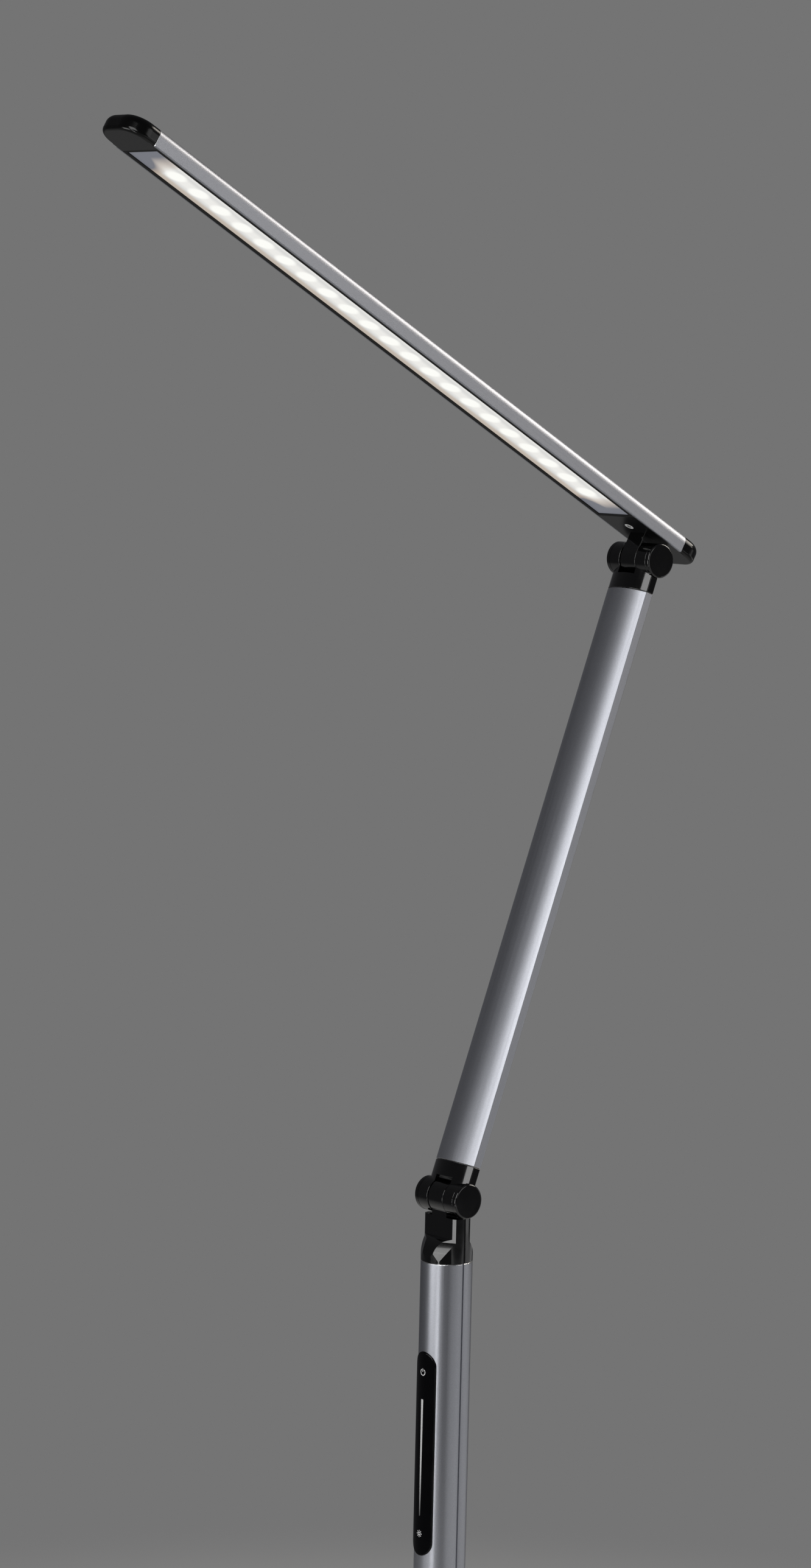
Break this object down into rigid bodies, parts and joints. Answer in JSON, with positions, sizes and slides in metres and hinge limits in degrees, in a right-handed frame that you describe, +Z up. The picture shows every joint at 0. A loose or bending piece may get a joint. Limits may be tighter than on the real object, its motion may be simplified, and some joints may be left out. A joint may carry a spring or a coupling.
{
  "type": "swing arm desk lamp",
  "caption": "Desk lamp with a long lit bar head on a hinged oval arm, a round post with a touch strip, and a weighted round base that the post turns on.",
  "frame": {"origin": "on the desk, under the middle of the base, on the post's axis", "axes": "+Z up along the post, -Y to the lamp's front where the head reaches, +X along the hinge axes"},
  "size_m": [0.21, 0.4186, 1.0034],
  "materials": {
    "anodised_aluminium": "satin anodised",
    "black_gloss_plastic": "polished moulding",
    "dark_trim_plastic": "fine textured moulding",
    "touch_lens_black": "clear-coated black lens",
    "opal_diffuser": "opal acrylic",
    "bearing_plastic": "natural acetal",
    "zinc_steel": "zinc plated",
    "black_steel": "powder coated",
    "weight_iron": "as cast",
    "pad_rubber": "matte",
    "board_laminate": "solder mask",
    "led_board_white": "white solder mask on aluminium",
    "led_phosphor": "phosphor gel",
    "inlet_plastic": "moulded"
  },
  "bodies": {
    "base": {"base_pad": "pad_rubber", "base_plate": "black_steel", "base_weight": "weight_iron", "base_cover": "anodised_aluminium", "base_screws": "zinc_steel", "power_board": "board_laminate", "power_inlet": "inlet_plastic", "swivel_bush": "bearing_plastic", "swivel_stop_pin": "zinc_steel"},
    "post": {"post_foot": "black_gloss_plastic", "swivel_spindle": "zinc_steel", "swivel_washer": "zinc_steel", "swivel_nut": "zinc_steel", "post_tube": "anodised_aluminium", "touch_lens": "touch_lens_black", "touch_board": "board_laminate", "post_knuckle": "black_gloss_plastic", "elbow_bush": "bearing_plastic", "post_grubs": "zinc_steel"},
    "arm": {"arm_tube": "anodised_aluminium", "arm_lower_fork": "black_gloss_plastic", "arm_upper_fork": "black_gloss_plastic", "arm_grubs": "zinc_steel", "elbow_bolt": "zinc_steel", "elbow_nut": "zinc_steel", "elbow_washers": "bearing_plastic", "elbow_caps": "black_gloss_plastic", "head_bolt": "zinc_steel", "head_nut": "zinc_steel", "head_washers": "bearing_plastic", "head_caps": "black_gloss_plastic"},
    "head": {"head_knuckle": "black_gloss_plastic", "head_bush": "bearing_plastic", "head_bar": "anodised_aluminium", "tip_cap": "black_gloss_plastic", "rear_cap": "black_gloss_plastic", "rear_panel": "dark_trim_plastic", "knuckle_carrier": "zinc_steel", "knuckle_screws": "zinc_steel", "panel_screw": "zinc_steel", "led_board": "led_board_white", "leds": "led_phosphor", "diffuser": "opal_diffuser", "diffuser_rails": "dark_trim_plastic"}
  },
  "joints": [
    {"name": "base_swivel", "type": "hinge", "parent": "base", "child": "post", "pos_m": [0, 0, 0.02], "axis": [0, 0, 1], "range_deg": [-90, 90]},
    {"name": "elbow", "type": "hinge", "parent": "post", "child": "arm", "pos_m": [0, 0, 0.4], "axis": [1, 0, 0], "range_deg": [-39.7, 110.3]},
    {"name": "head_tilt", "type": "hinge", "parent": "arm", "child": "head", "pos_m": [0, 0.13482, 0.76446], "axis": [1, 0, 0], "range_deg": [-75, 62]}
  ]
}
